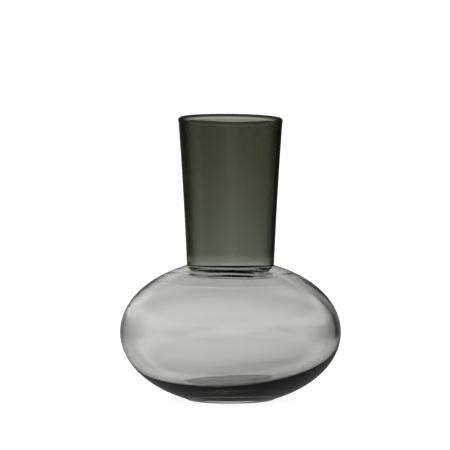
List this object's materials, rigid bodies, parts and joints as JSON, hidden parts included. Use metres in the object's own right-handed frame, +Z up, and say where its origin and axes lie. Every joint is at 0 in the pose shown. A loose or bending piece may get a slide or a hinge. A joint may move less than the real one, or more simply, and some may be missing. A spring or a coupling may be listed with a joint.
{
  "type": "bud vase",
  "caption": "Blown glass bud vase with a wide flattened pale grey bulb on a low foot and a tall dark smoke-grey flared neck.",
  "frame": {"origin": "centre of the flat face that the vase stands on", "axes": "+Z up along the vase's own axis; +X and +Y are any two level directions, because the vase is round"},
  "size_m": [0.1172, 0.1172, 0.15],
  "materials": {
    "pale_glass": "clear pale grey blown glass, fire polished",
    "dark_glass": "clear dark olive-grey blown glass, fire polished"
  },
  "bodies": {
    "root": {"foot": "pale_glass", "bulb": "pale_glass", "joint_ring": "pale_glass", "neck": "dark_glass"}
  },
  "joints": []
}
